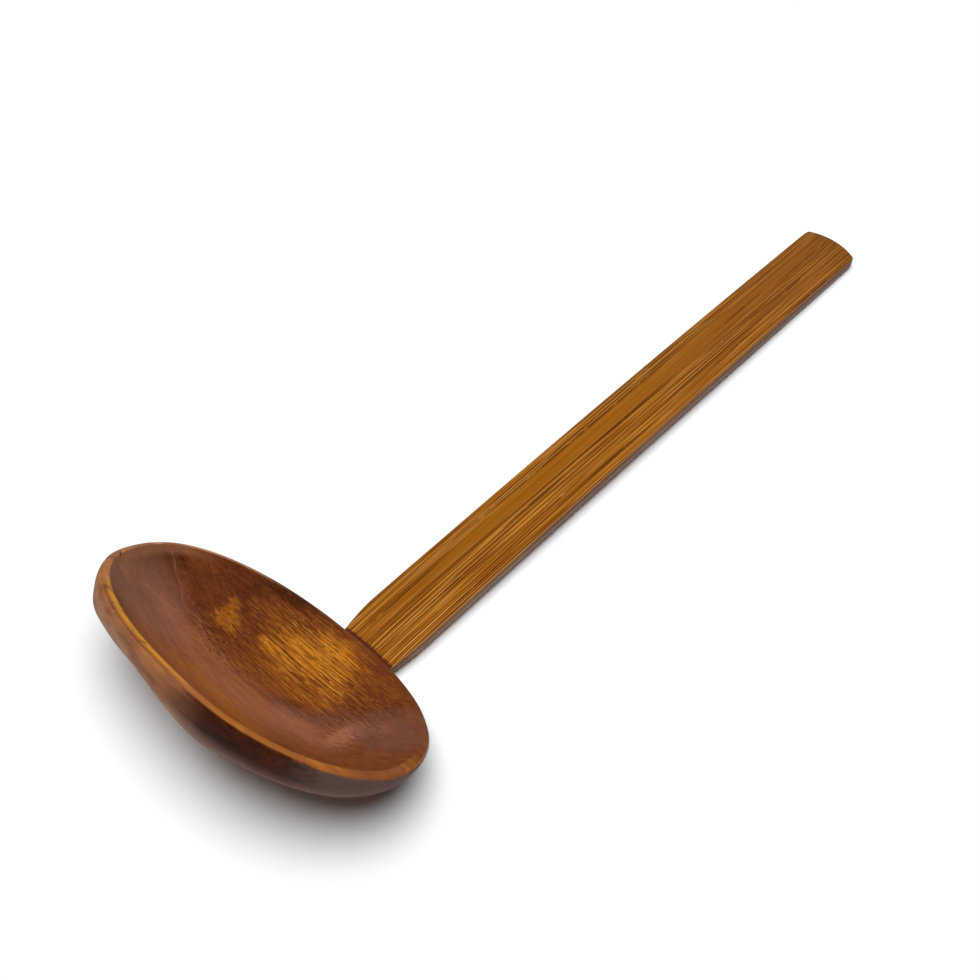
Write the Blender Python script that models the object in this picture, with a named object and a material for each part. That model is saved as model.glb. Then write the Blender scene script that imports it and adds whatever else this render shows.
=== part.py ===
# Ramen spoon: an oval wooden bowl with a bamboo slat glued into a blind mortise in its back wall.
# The spoon lies as it does on a table: the flat under the bowl and the slat's tip are both on z = 0.
# The origin is the middle of that flat, +Y runs along the slat and +Z is up.
import math

import bmesh
import bpy
import numpy as np

for old in list(bpy.data.objects):
    bpy.data.objects.remove(old, do_unlink=True)

# Oval of the bowl in its rim plane, and the shares of it left of and in front of the widest section
BOWL_LENGTH = 0.0848
BOWL_WIDTH = 0.0542
LEFT_SHARE = 0.5522
FRONT_SHARE = 0.4860
FRONT_LEFT_POWER = 2.42
BACK_LEFT_POWER = 2.23
FRONT_RIGHT_POWER = 1.91
BACK_RIGHT_POWER = 2.28

# Outside of the bowl, which swells below the rim and most at the left end
BOWL_DEPTH = 0.0182
SIDE_POWER = 2.42
DEPTH_POWER = 1.82
BELLY = 0.0007
BELLY_LEFT = 0.0022
BELLY_RIGHT = 0.0008
BELLY_POWER = 0.78
BOWL_TILT = math.radians(32.8)
FLAT_TRIM = 0.0004

# Hollow and rim
HOLLOW_DEPTH = 0.0118
HOLLOW_POWER = 2.4
RIM_LEFT = 0.0014
RIM_RIGHT = 0.0024
RIM_FRONT = 0.0023
RIM_BACK = 0.0017
RIM_OUTER_EASE = 0.0008
RIM_INNER_EASE = 0.0004

# Bamboo slat
HANDLE_LENGTH = 0.1911
HANDLE_ROOT_WIDTH = 0.0171
HANDLE_TIP_WIDTH = 0.0163
HANDLE_THICKNESS = 0.0033
HANDLE_OFFSET = 0.0031
HANDLE_BOW = 0.0016
HANDLE_EDGE = 0.0005
TIP_SAG = 0.0022
TIP_CORNER = 0.0020
TIP_CORNER_ROUND = 0.5

# Tenon, its shoulders and the glue round it
TENON_REACH = 0.0130
TENON_THICKNESS = 0.0020
SHOULDER_LEFT = 0.0010
SHOULDER_RIGHT = 0.0006
SHOULDER_LENGTH = 0.0110
GLUE_FILM = 0.0004
GLUE_BEAD = 0.0005
SEAT_GAP = 0.0003

# Mesh fineness
RING_POINTS = 96
SIDE_RINGS = 16
HOLLOW_RINGS = 14
EASE_STEPS = 3
SHOULDER_STEPS = 6
BOW_STEPS = 30
ARC_STEPS = 12
CORNER_STEPS = 5

BOWL_LEFT = BOWL_LENGTH * LEFT_SHARE
BOWL_RIGHT = BOWL_LENGTH - BOWL_LEFT
BOWL_FRONT = BOWL_WIDTH * FRONT_SHARE
BOWL_BACK = BOWL_WIDTH - BOWL_FRONT
OUTER_OVAL = (BOWL_LEFT, BOWL_RIGHT, BOWL_FRONT, BOWL_BACK)
INNER_OVAL = (BOWL_LEFT - RIM_LEFT, BOWL_RIGHT - RIM_RIGHT, BOWL_FRONT - RIM_FRONT, BOWL_BACK - RIM_BACK)


def side_profile(turn):
    """Shares of the oval, the depth and the belly, from the rim at 0 to the bottom at a quarter turn."""
    share = math.cos(turn) ** (2 / SIDE_POWER)
    depth = math.sin(turn) ** (2 / DEPTH_POWER)
    swell = math.sin(math.pi * depth**BELLY_POWER)
    return share, depth, swell


def on_table(y, z):
    """Turns a point of the bowl's middle section from a level rim to the tilt that it lies at."""
    turned_y = y * math.cos(BOWL_TILT) + z * math.sin(BOWL_TILT)
    turned_z = z * math.cos(BOWL_TILT) - y * math.sin(BOWL_TILT)
    return turned_y, turned_z


# Middle section of the back wall, outside and inside, tilted about the middle of the rim
outside_section = []
hollow_section = []
for step in range(1001):
    share, depth, swell = side_profile(math.radians(89.9) * (1 - step / 1000))
    outside_section.append(on_table(BOWL_BACK * share + BELLY * swell, -BOWL_DEPTH * depth))
    share = step / 1000
    hollow_section.append(on_table(INNER_OVAL[3] * share, -HOLLOW_DEPTH * (1 - share**HOLLOW_POWER)))

# The bowl comes to rest on the lowest point of its underside, where a flat is sanded
lowest = min(outside_section, key=lambda point: point[1])
RIM_Y = -lowest[0]
RIM_HEIGHT = -lowest[1] - FLAT_TRIM


def height_at(section, y):
    """Height above the table of one face of the back wall."""
    across, up = zip(*sorted(section))
    return RIM_HEIGHT + float(np.interp(y - RIM_Y, across, up))


# Stations along the slat: the back of the rim, the blind end of the tenon, the shoulders and the tip
BACK_Y = RIM_Y + BOWL_BACK * math.cos(BOWL_TILT)
TENON_Y = BACK_Y - TENON_REACH
SHOULDER_Y = BACK_Y + SEAT_GAP
TIP_Y = BACK_Y + HANDLE_LENGTH
TENON_Z = (height_at(outside_section, TENON_Y) + height_at(hollow_section, TENON_Y)) / 2


def slat_middle(y):
    """Height of the slat's middle line: from the middle of the wall to the table, bowed up between."""
    share = (y - TENON_Y) / (TIP_Y - TENON_Y)
    straight = TENON_Z + (HANDLE_THICKNESS / 2 - TENON_Z) * share
    return straight + 4 * HANDLE_BOW * share * (1 - share)


def fullness(y):
    """How full the whittled slat is: 0 along the tenon, rounding out to 1 past the shoulders."""
    share = min(max((y - SHOULDER_Y) / SHOULDER_LENGTH, 0.0), 1.0)
    return math.sin(share * math.pi / 2)


def slat_half_thickness(y):
    return (TENON_THICKNESS + (HANDLE_THICKNESS - TENON_THICKNESS) * fullness(y)) / 2


def slat_side(y, shoulder):
    """Distance from the slat's middle line to one of its sides."""
    share = max((y - SHOULDER_Y) / (TIP_Y - SHOULDER_Y), 0.0)
    width = HANDLE_ROOT_WIDTH + (HANDLE_TIP_WIDTH - HANDLE_ROOT_WIDTH) * share
    return width / 2 - shoulder * (1 - fullness(y))


def material(name, colour, roughness):
    surface = bpy.data.materials.new(name)
    surface.use_nodes = True
    shader = surface.node_tree.nodes["Principled BSDF"]
    shader.inputs["Base Color"].default_value = (*colour, 1.0)
    shader.inputs["Roughness"].default_value = roughness
    shader.inputs["Metallic"].default_value = 0.0
    return surface


def finished(name, bm, surface):
    """Makes a named object of the mesh, smooth but for its sharp edges."""
    bmesh.ops.recalc_face_normals(bm, faces=bm.faces)
    mesh = bpy.data.meshes.new(name)
    bm.to_mesh(mesh)
    bm.free()
    mesh.shade_smooth()
    mesh.set_sharp_from_angle(angle=math.radians(35))
    piece = bpy.data.objects.new(name, mesh)
    bpy.context.scene.collection.objects.link(piece)
    if surface:
        mesh.materials.append(surface)
    return piece


def tool(name, bm):
    """A solid that only shapes another piece."""
    shaper = finished(name, bm, None)
    shaper.hide_render = True
    shaper.display_type = "WIRE"
    return shaper


def combine(piece, shaper, operation):
    step = piece.modifiers.new(shaper.name, "BOOLEAN")
    step.operation = operation
    step.solver = "EXACT"
    step.object = shaper


def skin(bm, rings):
    """Skins a closed solid over a row of rings and caps both ends."""
    for lower, upper in zip(rings, rings[1:]):
        for step in range(len(lower)):
            after = (step + 1) % len(lower)
            bm.faces.new((lower[step], lower[after], upper[after], upper[step]))
    bm.faces.new(rings[0][::-1])
    bm.faces.new(rings[-1])


def cut_across(bm, place, normal, drop_below):
    """Cuts the whole mesh along a plane, and can drop what lies behind it."""
    whole = bm.verts[:] + bm.edges[:] + bm.faces[:]
    return bmesh.ops.bisect_plane(
        bm, geom=whole, dist=1e-6, plane_co=place, plane_no=normal, clear_inner=drop_below
    )


def oval_ring(bm, oval, grow, share, height, swell=0.0):
    """One ring of the bowl: an oval drawn in to a share of its size, swelled by the belly and grown."""
    left, right, front, back = oval
    ring = []
    for step in range(RING_POINTS):
        turn = 2 * math.pi * (step + 0.5) / RING_POINTS
        side = math.cos(turn)
        ahead = math.sin(turn)
        if ahead > 0:
            power = BACK_RIGHT_POWER if side > 0 else BACK_LEFT_POWER
        else:
            power = FRONT_RIGHT_POWER if side > 0 else FRONT_LEFT_POWER
        across = math.copysign(abs(side) ** (2 / power), side)
        along = math.copysign(abs(ahead) ** (2 / power), ahead)
        end_belly = BELLY_RIGHT if across > 0 else BELLY_LEFT
        outward = (BELLY + (end_belly - BELLY) * across**2) * swell + grow
        reach_x = (right if across > 0 else left) * share + outward
        reach_y = (back if along > 0 else front) * share + outward
        ring.append(bm.verts.new((reach_x * across, reach_y * along, height)))
    return ring


def outside_rings(bm, grow):
    """Rings up the outside of the bowl, from the middle of the underside to the eased rim."""
    last = math.asin((RIM_OUTER_EASE / BOWL_DEPTH) ** (DEPTH_POWER / 2))
    first = math.radians(87)
    rings = []
    for step in range(SIDE_RINGS + 1):
        share, depth, swell = side_profile(first + (last - first) * step / SIDE_RINGS)
        rings.append(oval_ring(bm, OUTER_OVAL, grow, share, -(BOWL_DEPTH + grow) * depth, swell))
    return rings


def lay_down(bm):
    """Carries the mesh from the bowl's own frame, with its rim level, to the table."""
    for vert in bm.verts:
        y, z = on_table(vert.co.y, vert.co.z)
        vert.co = (vert.co.x, RIM_Y + y, RIM_HEIGHT + z)


def tenon_block(bm, margin, end_y):
    """A block round the tenon, larger by a margin, from past its blind end to a station outside."""
    rings = []
    start_y = TENON_Y - margin
    left = HANDLE_OFFSET - slat_side(SHOULDER_Y, SHOULDER_LEFT) - margin
    right = HANDLE_OFFSET + slat_side(SHOULDER_Y, SHOULDER_RIGHT) + margin
    for y in (start_y, end_y):
        low = slat_middle(y) - TENON_THICKNESS / 2 - margin
        high = slat_middle(y) + TENON_THICKNESS / 2 + margin
        corners = ((left, low), (right, low), (right, high), (left, high))
        rings.append([bm.verts.new((x, y, z)) for x, z in corners])
    skin(bm, rings)


def grown_bowl(name, grow):
    """The bowl's filled outside, grown by a margin and carried up past the rim."""
    bm = bmesh.new()
    rings = outside_rings(bm, grow)
    rings.append(oval_ring(bm, OUTER_OVAL, grow, 1.0, RIM_OUTER_EASE))
    skin(bm, rings)
    lay_down(bm)
    return tool(name, bm)


wood = material("stained_hardwood", (0.20, 0.065, 0.018), 0.45)
bamboo = material("lacquered_bamboo", (0.30, 0.096, 0.011), 0.50)
glue = material("cured_glue", (0.07, 0.016, 0.009), 0.35)

# Bowl: outside, eased rim and hollow in one loft of ovals, laid down and sanded flat underneath
bm = bmesh.new()
rings = outside_rings(bm, 0.0)
for step in range(1, EASE_STEPS + 1):
    turn = math.pi / 2 * step / EASE_STEPS
    inset = RIM_OUTER_EASE * (1 - math.cos(turn))
    rings.append(oval_ring(bm, OUTER_OVAL, -inset, 1.0, -RIM_OUTER_EASE * (1 - math.sin(turn))))
for step in range(EASE_STEPS + 1):
    turn = math.pi / 2 * step / EASE_STEPS
    outset = RIM_INNER_EASE * (1 - math.sin(turn))
    rings.append(oval_ring(bm, INNER_OVAL, outset, 1.0, -RIM_INNER_EASE * (1 - math.cos(turn))))
for step in range(1, HOLLOW_RINGS + 1):
    share = 1 - 0.95 * step / HOLLOW_RINGS
    depth = RIM_INNER_EASE + (HOLLOW_DEPTH - RIM_INNER_EASE) * (1 - share**HOLLOW_POWER)
    rings.append(oval_ring(bm, INNER_OVAL, 0.0, share, -depth))
skin(bm, rings)
lay_down(bm)
sanded = cut_across(bm, (0, 0, 0), (0, 0, 1), True)
flat_edges = [item for item in sanded["geom_cut"] if isinstance(item, bmesh.types.BMEdge)]
bmesh.ops.contextual_create(bm, geom=flat_edges)
bowl = finished("bowl", bm, wood)

# Mortise: room for the tenon, the glue round it and a gap on each side of the glue
outside_y = SHOULDER_Y + SHOULDER_LENGTH
bm = bmesh.new()
tenon_block(bm, SEAT_GAP + GLUE_FILM + SEAT_GAP, outside_y)
combine(bowl, tool("mortise_cutter", bm), "DIFFERENCE")

# Handle: a flat outline with a bowed end and rounded corners, given its thickness, bow and eased edges
bm = bmesh.new()
corner_y = TIP_Y - TIP_SAG
stations = [TENON_Y]
for step in range(SHOULDER_STEPS + 1):
    stations.append(SHOULDER_Y + SHOULDER_LENGTH * step / SHOULDER_STEPS)
left_side = [(HANDLE_OFFSET - slat_side(y, SHOULDER_LEFT), y) for y in stations]
right_side = [(HANDLE_OFFSET + slat_side(y, SHOULDER_RIGHT), y) for y in stations]
half_tip = slat_side(corner_y, 0.0)
arc_radius = (half_tip**2 + TIP_SAG**2) / (2 * TIP_SAG)
arc_spread = math.asin(half_tip / arc_radius)
tip_arc = []
for step in range(ARC_STEPS + 1):
    turn = arc_spread * (2 * step / ARC_STEPS - 1)
    tip_arc.append((HANDLE_OFFSET + arc_radius * math.sin(turn), TIP_Y - arc_radius * (1 - math.cos(turn))))
outline = [bm.verts.new((x, y, 0.0)) for x, y in left_side + tip_arc + right_side[::-1]]
bm.faces.new(outline)
corners = [outline[len(left_side)], outline[len(left_side) + ARC_STEPS]]
bmesh.ops.bevel(
    bm, geom=corners, offset=TIP_CORNER, segments=CORNER_STEPS, profile=TIP_CORNER_ROUND, affect="VERTICES"
)
bow_start = SHOULDER_Y + SHOULDER_LENGTH
bow_end = corner_y - 2 * TIP_CORNER
bow_stations = [bow_start + (bow_end - bow_start) * step / BOW_STEPS for step in range(BOW_STEPS + 1)]
for y in stations[1:-1] + bow_stations:
    cut_across(bm, (0, y, 0), (0, 1, 0), False)
raised = bmesh.ops.extrude_face_region(bm, geom=bm.faces[:])
top_side = {item for item in raised["geom"] if isinstance(item, bmesh.types.BMVert)}
for vert in bm.verts:
    half = slat_half_thickness(vert.co.y)
    vert.co.z = slat_middle(vert.co.y) + (half if vert in top_side else -half)
handle = finished("handle", bm, bamboo)
edge = handle.modifiers.new("eased_edges", "BEVEL")
edge.width = HANDLE_EDGE
edge.segments = 2
edge.limit_method = "ANGLE"
edge.angle_limit = math.radians(40)

# Glue: a thin cup round the tenon, with a bead squeezed out on the bowl's wall round the mouth
bm = bmesh.new()
tenon_block(bm, SEAT_GAP + GLUE_FILM, outside_y)
glue_line = finished("glue_line", bm, glue)
bm = bmesh.new()
tenon_block(bm, SEAT_GAP + GLUE_FILM + SEAT_GAP + GLUE_BEAD, outside_y)
bead = tool("bead_block", bm)
combine(bead, grown_bowl("wall_under_bead", SEAT_GAP), "DIFFERENCE")
combine(glue_line, bead, "UNION")
combine(glue_line, grown_bowl("wall_over_bead", SEAT_GAP + GLUE_BEAD), "INTERSECT")
bm = bmesh.new()
tenon_block(bm, SEAT_GAP, outside_y + SHOULDER_LENGTH)
combine(glue_line, tool("tenon_room", bm), "DIFFERENCE")
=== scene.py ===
# %% [markdown]
# # A ramen spoon, finished in wood, bamboo and lacquer
# The real spoon is an oval bowl carved from a dark stained hardwood, with a long bamboo slat glued into
# its back wall. The solids of the part are loaded first and stay where they are. Finer pieces are then
# made from the same sizes, so the grain, the rim and the joint can be finished as on the real one.

# %% Load the solids that everything is fitted to
import math

import bmesh
import bpy
import numpy as np
from mathutils import Matrix, Vector


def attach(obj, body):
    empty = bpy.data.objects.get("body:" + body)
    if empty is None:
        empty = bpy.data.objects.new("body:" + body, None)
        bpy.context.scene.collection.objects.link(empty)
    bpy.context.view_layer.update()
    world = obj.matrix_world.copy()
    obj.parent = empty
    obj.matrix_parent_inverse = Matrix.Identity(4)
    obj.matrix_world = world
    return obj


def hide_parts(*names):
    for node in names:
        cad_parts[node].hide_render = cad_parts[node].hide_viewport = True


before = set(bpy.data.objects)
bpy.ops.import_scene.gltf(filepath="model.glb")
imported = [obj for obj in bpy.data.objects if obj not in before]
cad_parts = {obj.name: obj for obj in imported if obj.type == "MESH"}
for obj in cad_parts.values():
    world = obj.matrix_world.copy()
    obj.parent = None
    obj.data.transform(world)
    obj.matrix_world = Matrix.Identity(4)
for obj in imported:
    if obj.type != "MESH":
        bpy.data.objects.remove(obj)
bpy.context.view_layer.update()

print("solids loaded:", sorted(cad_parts))

# %% [markdown]
# ## Sizes
# A carver works from a few measures: the oval of the rim, how deep the bowl and its hollow are, how far
# it tips back, and the slat. They are the measures of the solids, in metres. Writing them down once lets
# each piece be drawn finer than the solid and still fit it.

# %% Measures of the bowl and the slat
BOWL_LENGTH = 0.0848
BOWL_WIDTH = 0.0542
LEFT_SHARE = 0.5522
LEFT = BOWL_LENGTH * LEFT_SHARE
RIGHT = BOWL_LENGTH - LEFT
FRONT_SHARE = 0.4860
FRONT = BOWL_WIDTH * FRONT_SHARE
BACK = BOWL_WIDTH - FRONT
OVAL_POWERS = {"front_left": 2.42, "back_left": 2.23, "front_right": 1.91, "back_right": 2.28}
BOWL_DEPTH = 0.0182
SIDE_POWER = 2.42
DEPTH_POWER = 1.82
BELLY = 0.0007
BELLY_LEFT = 0.0022
BELLY_RIGHT = 0.0008
BELLY_POWER = 0.78
TILT = math.radians(32.8)
FLAT_TRIM = 0.0004
HOLLOW_DEPTH = 0.0118
HOLLOW_POWER = 2.4
RIM = {"left": 0.0014, "right": 0.0024, "front": 0.0023, "back": 0.0017}
RIM_OUTER_EASE = 0.0008
OUTER_OVAL = (LEFT, RIGHT, FRONT, BACK)
INNER_OVAL = (LEFT - RIM["left"], RIGHT - RIM["right"], FRONT - RIM["front"], BACK - RIM["back"])

SLAT_LENGTH = 0.1911
SLAT_ROOT_WIDTH = 0.0171
SLAT_TIP_WIDTH = 0.0163
SLAT_THICKNESS = 0.0033
SLAT_OFFSET = 0.0031
SLAT_BOW = 0.0016
TIP_SAG = 0.0022
TIP_CORNER = 0.0020
TENON_REACH = 0.0130
TENON_THICKNESS = 0.0020
SHOULDER_LEFT = 0.0010
SHOULDER_RIGHT = 0.0006
SHOULDER_LENGTH = 0.0110
GLUE_FILM = 0.0004
SEAT_GAP = 0.0003
print(f"bowl {BOWL_LENGTH * 1000:.0f} x {BOWL_WIDTH * 1000:.1f} mm, slat {SLAT_LENGTH * 1000:.0f} mm")

# %% [markdown]
# ## Where the bowl lies
# The spoon lies on the underside of its bowl and the tip of its slat, with the front of the rim up. The
# side of the bowl is drawn as one curve from the rim to the bottom. Tilting that curve and finding its
# lowest point says where the rim is above the table, so nothing has to be placed by eye.


# %% Curve of the side and the tilt on the table
def side_curve(turn):
    """Shares of the oval, the depth and the belly, from the rim at 0 to the bottom at a quarter turn."""
    share = math.cos(turn) ** (2 / SIDE_POWER)
    depth = math.sin(turn) ** (2 / DEPTH_POWER)
    return share, depth, math.sin(math.pi * depth**BELLY_POWER)


def tip_back(y, z):
    """Turns a point from a level rim to the tilt that the bowl lies at."""
    return y * math.cos(TILT) + z * math.sin(TILT), z * math.cos(TILT) - y * math.sin(TILT)


CURVE_STEPS = 1000
NEAR_BOTTOM = math.radians(89.9)
outside_curve = []
hollow_curve = []
for step in range(CURVE_STEPS + 1):
    share, depth, swell = side_curve(NEAR_BOTTOM * (1 - step / CURVE_STEPS))
    outside_curve.append(tip_back(BACK * share + BELLY * swell, -BOWL_DEPTH * depth))
    share = step / CURVE_STEPS
    hollow_curve.append(tip_back(INNER_OVAL[3] * share, -HOLLOW_DEPTH * (1 - share**HOLLOW_POWER)))
lowest = min(outside_curve, key=lambda point: point[1])
RIM_Y = -lowest[0]
RIM_HEIGHT = -lowest[1] - FLAT_TRIM
print(f"middle of the rim: {RIM_Y * 1000:.2f} mm forward, {RIM_HEIGHT * 1000:.2f} mm up")

# %% [markdown]
# ## The carved bowl
# The bowl could be sculpted by hand, but every section of it is an oval, so it is skinned over a stack of
# ovals: up the outside, over the rounded rim and down the hollow. A carver's knife never leaves a true
# surface, so each point is moved by a slow ripple of a tenth of a millimetre, always into the wood. The
# rim's inner edge is crisp, but worn soft in front, where the spoon meets the lips.
# Values are kept on the points for the finish: how near the rim it is, how far inside, how deep, and its
# place in the blank before it was tipped back, because that is the way the grain runs.


# %% One oval of the bowl
RING_POINTS = 320
TURNS = 2 * np.pi * (np.arange(RING_POINTS) + 0.5) / RING_POINTS


def oval_ring(oval, grow, share, height, swell=0.0):
    """One oval, drawn in to a share of its size, swelled by the belly and grown."""
    left, right, front, back = oval
    side, run = np.cos(TURNS), np.sin(TURNS)
    left_power = np.where(run > 0, OVAL_POWERS["back_left"], OVAL_POWERS["front_left"])
    right_power = np.where(run > 0, OVAL_POWERS["back_right"], OVAL_POWERS["front_right"])
    power = np.where(side > 0, right_power, left_power)
    across = np.sign(side) * np.abs(side) ** (2 / power)
    along = np.sign(run) * np.abs(run) ** (2 / power)
    end_belly = np.where(across > 0, BELLY_RIGHT, BELLY_LEFT)
    outward = (BELLY + (end_belly - BELLY) * across**2) * swell + grow
    x = (np.where(across > 0, right, left) * share + outward) * across
    y = (np.where(along > 0, back, front) * share + outward) * along
    return np.stack([x, y, height + np.zeros(RING_POINTS)], axis=1)


print(f"ovals of {RING_POINTS} points")

# %% All ovals of the bowl
SIDE_RINGS = 60
EASE_RINGS = 8
HOLLOW_RINGS = 64
STEEP_BOTTOM = math.radians(89)
HOLLOW_DRAWN = 0.985
CRISP_EDGE = 0.0005
LIP_WEAR = 0.0010
RIM_INNER_EASE = CRISP_EDGE + LIP_WEAR * np.clip(-np.sin(TURNS), 0, 1) ** 1.5
RIM_BAND_OUTSIDE = 0.004
RIM_BAND_INSIDE = 0.003
RIM_TOP_STARTS, RIM_TOP_ENDS = 0.3, 0.6


def bowl_rings():
    """All ovals of the bowl with their values for the finish: nearness to the rim, inside, depth."""
    rings = []
    last = math.asin((RIM_OUTER_EASE / BOWL_DEPTH) ** (DEPTH_POWER / 2))
    for step in range(SIDE_RINGS + 1):
        share, depth, swell = side_curve(STEEP_BOTTOM + (last - STEEP_BOTTOM) * step / SIDE_RINGS)
        near = max(0.0, 1 - depth * BOWL_DEPTH / RIM_BAND_OUTSIDE)
        rings.append((oval_ring(OUTER_OVAL, 0.0, share, -BOWL_DEPTH * depth, swell), near, 0.0, depth))
    for step in range(1, EASE_RINGS + 1):
        turn = math.pi / 2 * step / EASE_RINGS
        inset = RIM_OUTER_EASE * (1 - math.cos(turn))
        height = -RIM_OUTER_EASE * (1 - math.sin(turn))
        inside = RIM_TOP_STARTS * step / EASE_RINGS
        rings.append((oval_ring(OUTER_OVAL, -inset, 1.0, height), 1.0, inside, 0.0))
    edge = oval_ring(INNER_OVAL, 0.0, 1.0, 0.0)
    slope = np.arctan(HOLLOW_POWER * HOLLOW_DEPTH / np.hypot(edge[:, 0], edge[:, 1]))
    for step in range(EASE_RINGS + 1):
        turn = slope * step / EASE_RINGS
        outset = RIM_INNER_EASE * (np.sin(slope) - np.sin(turn))
        height = -RIM_INNER_EASE * (1 - np.cos(turn))
        inside = RIM_TOP_ENDS + (1 - RIM_TOP_ENDS) * step / EASE_RINGS
        rings.append((oval_ring(INNER_OVAL, outset, 1.0, height), 1.0, inside, 0.0))
    lip = RIM_INNER_EASE * (1 - np.cos(slope))
    for step in range(1, HOLLOW_RINGS + 1):
        share = 1 - HOLLOW_DRAWN * step / HOLLOW_RINGS
        depth = 1 - share**HOLLOW_POWER
        height = -(lip + (HOLLOW_DEPTH - lip) * depth)
        near = max(0.0, 1 - depth * HOLLOW_DEPTH / RIM_BAND_INSIDE)
        rings.append((oval_ring(INNER_OVAL, 0.0, share, height), near, 1.0, depth))
    return rings


rings = bowl_rings()
print(f"bowl drawn as {len(rings)} ovals of {RING_POINTS} points")

# %% [markdown]
# The ripple is a sum of a few slow waves along different directions. Random noise would work as well,
# but waves with written angles give the same bowl each time the lesson is run. Three longer strokes of the
# knife left the front wall about a millimetre full, flat, and full again, from its left end to its middle.


# %% Knife ripple and long strokes
RIPPLE_LEAST = 0.00005
RIPPLE = 0.00010
RIPPLE_WAVES = ((310, 120, 200, 0.3), (-170, 420, 90, 1.9), (520, -260, 330, 4.1), (80, 240, -460, 2.6))
# Each stroke, in millimetres: place along the rim, place under it, reach along and down, and the move.
STROKES = (
    (-39, -8.0, 6.0, 4.0, (-0.55, -0.95, -0.31)),
    (-20, -10.0, 6.5, 5.0, (0.20, 0.58, 0.25)),
    (-1, -12.5, 8.0, 4.5, (0.0, -0.35, -2.30)),
)
FADE_TO_SIDES = 8
FADE_TO_RIM = 6


def knife_ripple(points):
    """How deep the knife went at each point."""
    waves = [np.sin(points @ np.array(wave[:3]) + wave[3]) for wave in RIPPLE_WAVES]
    return RIPPLE_LEAST + RIPPLE * (0.5 + 0.5 * np.mean(waves, axis=0))


def long_strokes(points):
    """How far the long strokes moved each point of the front wall, fading at the rim and the sides."""
    u, v, w = points.T * 1000
    fade = np.clip(-v / FADE_TO_SIDES, 0, 1) * np.clip(-w / FADE_TO_RIM, 0, 1)
    moved = np.zeros_like(points)
    for at_u, at_w, long, tall, way in STROKES:
        near = fade * np.exp(-(((u - at_u) / long) ** 2) - ((w - at_w) / tall) ** 2)
        moved += near[:, None] * np.array(way) / 1000
    return moved


print(f"ripple up to {(RIPPLE_LEAST + RIPPLE) * 1000:.2f} mm deep, {len(STROKES)} long strokes")

# %% [markdown]
# A few small helpers turn points into pieces: one carries points from the level blank to the table, one
# puts a piece in the scene, one skins a closed piece over rings, and one makes a modifier's result plain.


# %% Helpers that make pieces
def table_place(points):
    """Carries points from the bowl's own level frame to the table."""
    y, z = tip_back(points[:, 1], points[:, 2])
    return np.stack([points[:, 0], RIM_Y + y, RIM_HEIGHT + z], axis=1)


def new_piece(name, data):
    """A new object in the scene, for a mesh, a lamp or a camera."""
    piece = bpy.data.objects.new(name, data)
    bpy.context.scene.collection.objects.link(piece)
    return piece


def loft(name, rings):
    """Skins a closed piece over rings with the same number of points and caps both ends."""
    count = len(rings[0])
    faces = []
    for ring in range(len(rings) - 1):
        for step in range(count):
            after = (step + 1) % count
            low, high = ring * count, (ring + 1) * count
            faces.append((low + step, low + after, high + after, high + step))
    faces.append(tuple(range(count))[::-1])
    faces.append(tuple(range((len(rings) - 1) * count, len(rings) * count)))
    mesh = bpy.data.meshes.new(name)
    mesh.from_pydata(np.vstack(rings).tolist(), [], faces)
    mesh.update()
    return new_piece(name, mesh)


def settle(piece):
    """Turns what the modifiers of a piece make into its plain mesh."""
    graph = bpy.context.evaluated_depsgraph_get()
    shaped = bpy.data.meshes.new_from_object(
        piece.evaluated_get(graph), preserve_all_data_layers=True, depsgraph=graph
    )
    piece.modifiers.clear()
    piece.data = shaped


print("piece helpers ready")

# %% [markdown]
# The skin goes over all the ovals in one run, so the bowl is one closed piece. The long strokes move only
# its outside, and not past the foremost point that the solid has. Last, the flat that the bowl rests on is
# cut off, as a carver sands it on a board.

# %% Skin the bowl
level_points = np.vstack([ring[0] for ring in rings])
bowl_points = table_place(level_points)
outside_count = (SIDE_RINGS + 1) * RING_POINTS
foremost = bowl_points[:, 1].min()
bowl_points[:outside_count] += long_strokes(level_points[:outside_count])
bowl_points[:, 1] = np.maximum(bowl_points[:, 1], foremost)
bowl = loft("carved_bowl", np.split(bowl_points, len(rings)))
for label, place in (("near_rim", 1), ("inside", 2), ("depth", 3)):
    values = np.repeat([ring[place] for ring in rings], RING_POINTS)
    bowl.data.attributes.new(label, "FLOAT", "POINT").data.foreach_set("value", values)
blank_place = bowl.data.attributes.new("blank_place", "FLOAT_VECTOR", "POINT")
blank_place.data.foreach_set("vector", (level_points * 1000).ravel())
normals = np.zeros(len(bowl_points) * 3)
bowl.data.vertices.foreach_get("normal", normals)
bowl_points = bowl_points - normals.reshape(-1, 3) * knife_ripple(bowl_points)[:, None]
bowl.data.vertices.foreach_set("co", bowl_points.ravel())
print(f"bowl skinned: {len(bowl.data.polygons)} faces")

# %% Sand the flat underside
CUT_WITHIN = 1e-7
bm = bmesh.new()
bm.from_mesh(bowl.data)
everything = bm.verts[:] + bm.edges[:] + bm.faces[:]
cut = bmesh.ops.bisect_plane(
    bm, geom=everything, dist=CUT_WITHIN, plane_co=(0, 0, 0), plane_no=(0, 0, 1), clear_inner=True
)
bmesh.ops.contextual_create(bm, geom=[e for e in cut["geom_cut"] if isinstance(e, bmesh.types.BMEdge)])
bmesh.ops.recalc_face_normals(bm, faces=bm.faces)
bm.to_mesh(bowl.data)
bm.free()
bowl.data.shade_smooth()
print(f"underside sanded flat: {len(bowl.data.polygons)} faces")

# %% [markdown]
# ## The bamboo slat
# The slat is split bamboo, planed flat, with a whittled tenon at one end and a bowed, rounded end at the
# other. Extruding its outline would leave long faces that can't bend, so the sheet is first cut across
# into short strips. Then it is thickened along its bowed middle line and its edges are rounded over.


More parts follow.
